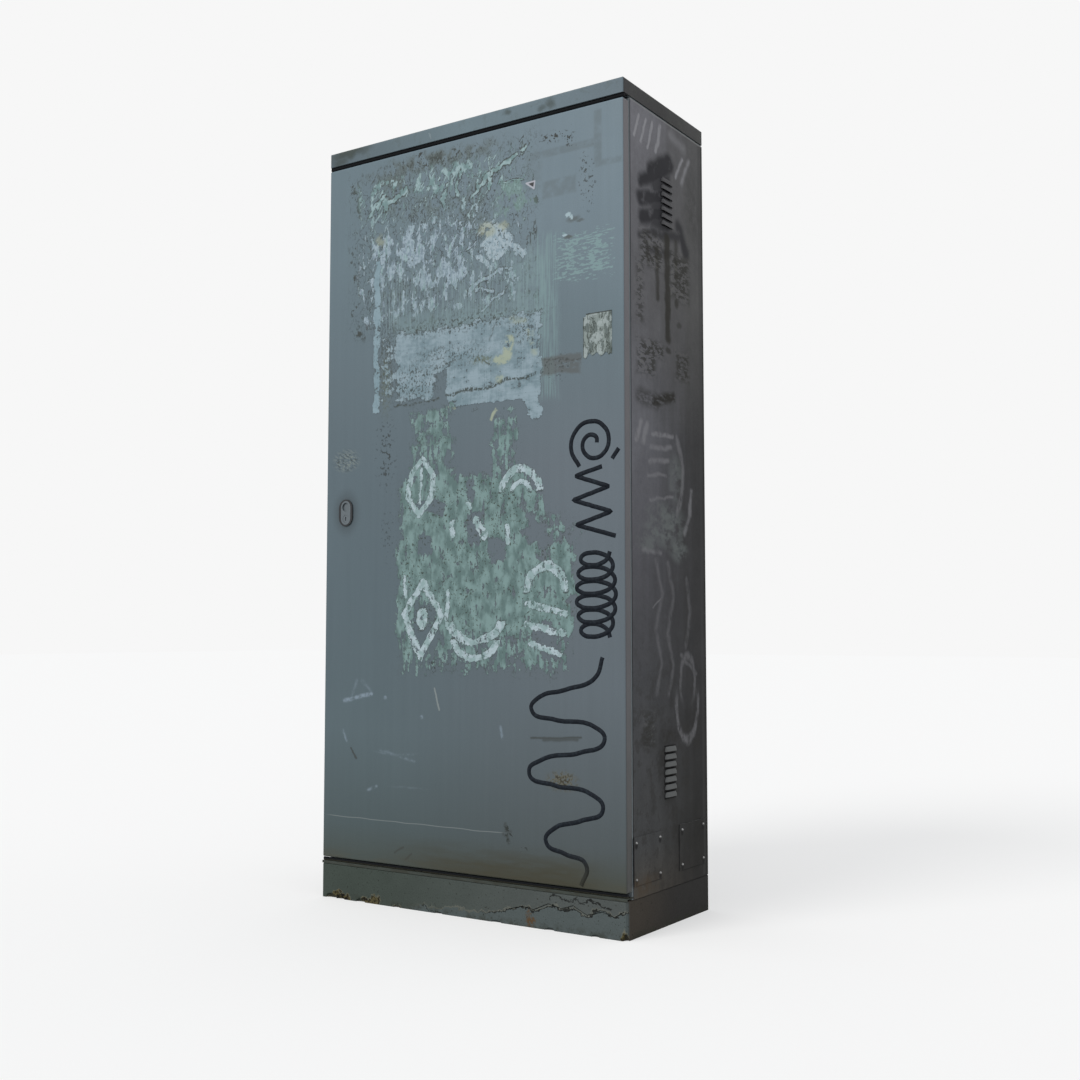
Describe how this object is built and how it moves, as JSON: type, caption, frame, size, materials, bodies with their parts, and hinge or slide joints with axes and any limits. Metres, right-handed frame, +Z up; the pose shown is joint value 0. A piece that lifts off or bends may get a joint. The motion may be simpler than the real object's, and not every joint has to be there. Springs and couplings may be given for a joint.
{
  "type": "electrical switch cabinet",
  "caption": "Tall painted steel street cabinet for electrical switchgear: one full-height door with an oval rod lock, folded cap, side louvres, riveted blanking plates and concrete plinth.",
  "frame": {"origin": "middle of the footprint, at the ground under the plinth", "axes": "+Z up; the door faces -Y; its hinges are on the +X side and its lock is near the -X side"},
  "size_m": [0.824, 0.3657, 1.76],
  "materials": {
    "plinth_render": "matte",
    "body_paint": "satin",
    "door_paint": "satin",
    "zinc": "satin",
    "rubber": "matte",
    "rivet_steel": "satin",
    "lock_black": "matte",
    "lock_metal": "satin",
    "nylon": "matte",
    "light_plastic": "satin",
    "red_plastic": "satin",
    "grey_plastic": "matte",
    "copper": "satin"
  },
  "bodies": {
    "cabinet": {"plinth": "plinth_render", "base_frame": "body_paint", "gland_plate": "zinc", "cable_seal": "rubber", "side_panel_left": "body_paint", "side_panel_right": "body_paint", "rear_panel": "body_paint", "top_panel": "body_paint", "roof_cap": "body_paint", "blanking_plate_front": "body_paint", "blanking_plate_rear": "body_paint", "rivet_front_1": "rivet_steel", "rivet_front_2": "rivet_steel", "rivet_front_3": "rivet_steel", "rivet_front_4": "rivet_steel", "rivet_rear_1": "rivet_steel", "rivet_rear_2": "rivet_steel", "rivet_rear_3": "rivet_steel", "rivet_rear_4": "rivet_steel", "hinge_frame_leaf_1": "zinc", "hinge_frame_leaf_2": "zinc", "hinge_frame_leaf_3": "zinc", "hinge_pin_1": "rivet_steel", "hinge_pin_2": "rivet_steel", "hinge_pin_3": "rivet_steel", "mounting_rail_left": "zinc", "mounting_rail_right": "zinc", "mounting_plate": "zinc", "main_switch": "light_plastic", "busbar_1": "copper", "busbar_2": "copper", "busbar_3": "copper", "busbar_support_left": "red_plastic", "busbar_support_right": "red_plastic", "din_rail": "zinc", "breaker_1": "light_plastic", "breaker_2": "light_plastic", "breaker_3": "light_plastic", "terminal_block": "grey_plastic", "earth_bar": "copper"},
    "door": {"door_panel": "door_paint", "door_stiffener_upper": "body_paint", "door_stiffener_lower": "body_paint", "door_gasket": "rubber", "hinge_door_leaf_1": "zinc", "hinge_door_leaf_2": "zinc", "hinge_door_leaf_3": "zinc", "lock_bezel": "lock_black", "lock_body": "lock_metal", "lock_housing": "zinc", "rod_guide_upper": "nylon", "rod_guide_lower": "nylon"},
    "lock": {"lock_plug": "lock_metal", "lock_pinion": "rivet_steel"},
    "rod_upper": {"lock_rod_upper": "zinc"},
    "rod_lower": {"lock_rod_lower": "zinc"},
    "handle": {"switch_handle": "red_plastic"},
    "toggle_body_1": {"toggle_1": "lock_black"},
    "toggle_body_2": {"toggle_2": "lock_black"},
    "toggle_body_3": {"toggle_3": "lock_black"}
  },
  "joints": [
    {"name": "door_swing", "type": "hinge", "parent": "cabinet", "child": "door", "pos_m": [0.3974, -0.1726, 0.9045], "axis": [0, 0, 1], "range_deg": [0, 110]},
    {"name": "lock_turn", "type": "hinge", "parent": "door", "child": "lock", "pos_m": [-0.344, -0.168, 0.875], "axis": [0, 1, 0], "range_deg": [0, 90]},
    {"name": "rod_upper_slide", "type": "slide", "parent": "door", "child": "rod_upper", "axis": [0, 0, 1], "range_m": [0, 0.01885]},
    {"name": "rod_lower_slide", "type": "slide", "parent": "door", "child": "rod_lower", "axis": [0, 0, -1], "range_m": [0, 0.0189]},
    {"name": "switch_turn", "type": "hinge", "parent": "cabinet", "child": "handle", "pos_m": [0, 0.03, 1.4689], "axis": [0, 1, 0], "range_deg": [0, 90]},
    {"name": "toggle_1_tip", "type": "hinge", "parent": "cabinet", "child": "toggle_body_1", "pos_m": [-0.072, 0.0521, 0.9045], "axis": [1, 0, 0], "range_deg": [0, 76]},
    {"name": "toggle_2_tip", "type": "hinge", "parent": "cabinet", "child": "toggle_body_2", "pos_m": [0, 0.0521, 0.9045], "axis": [1, 0, 0], "range_deg": [0, 76]},
    {"name": "toggle_3_tip", "type": "hinge", "parent": "cabinet", "child": "toggle_body_3", "pos_m": [0.072, 0.0521, 0.9045], "axis": [1, 0, 0], "range_deg": [0, 76]}
  ],
  "couplings": [
    {"joint": "lock_turn", "follows": "rod_upper_slide", "rad_per_m": 83.333},
    {"joint": "rod_lower_slide", "follows": "rod_upper_slide", "ratio": 1}
  ]
}
